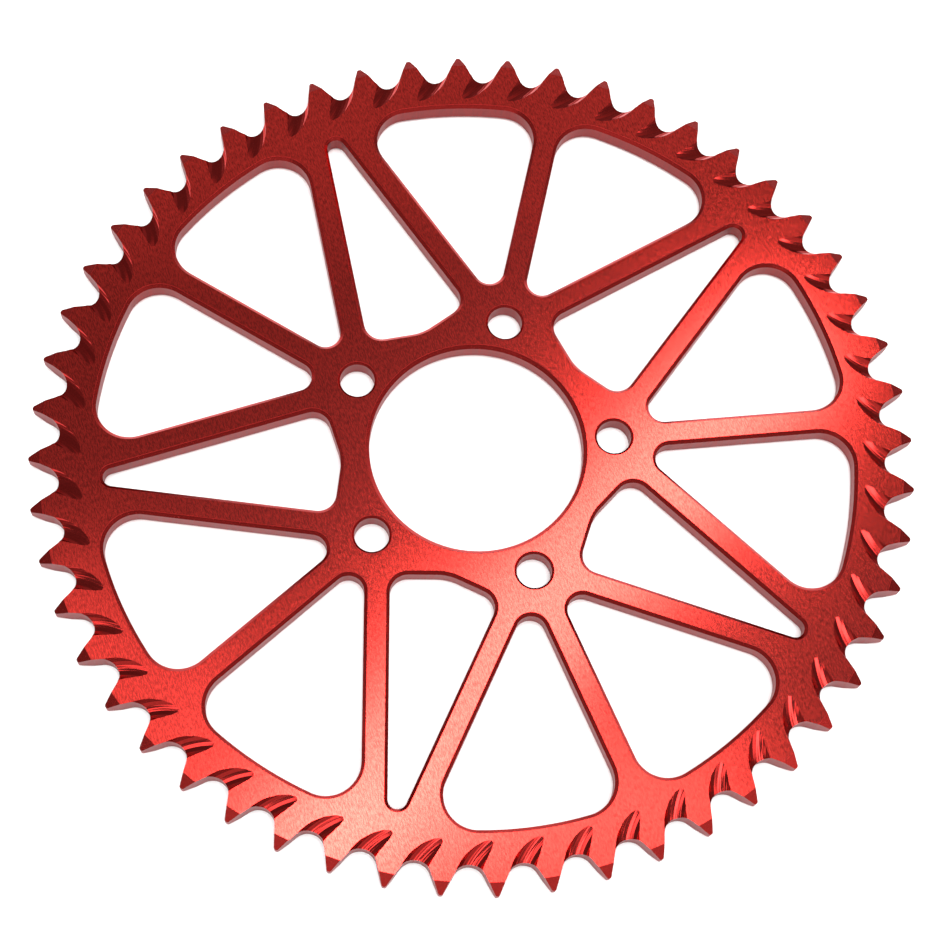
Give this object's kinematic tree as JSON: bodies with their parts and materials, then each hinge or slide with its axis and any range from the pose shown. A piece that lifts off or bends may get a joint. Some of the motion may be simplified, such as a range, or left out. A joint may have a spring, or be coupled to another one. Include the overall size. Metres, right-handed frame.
{
  "type": "rear sprocket",
  "caption": "Flat toothed chain sprocket with bevelled teeth, slanted mud grooves in the tooth gaps, slender spokes between windows, a pilot bore and a circle of bolt holes.",
  "frame": {"origin": "on the sprocket's axis, in the plane of the flat back face that seats on the wheel hub", "axes": "+Z along the axis, out through the grooved front face; +X from the axis through the middle of one bolt hole, which is also in line with a tooth gap"},
  "size_m": [0.2166, 0.2166, 0.0058],
  "materials": {
    "anodised_aluminium": "satin"
  },
  "bodies": {
    "root": {"sprocket": "anodised_aluminium"}
  },
  "joints": []
}
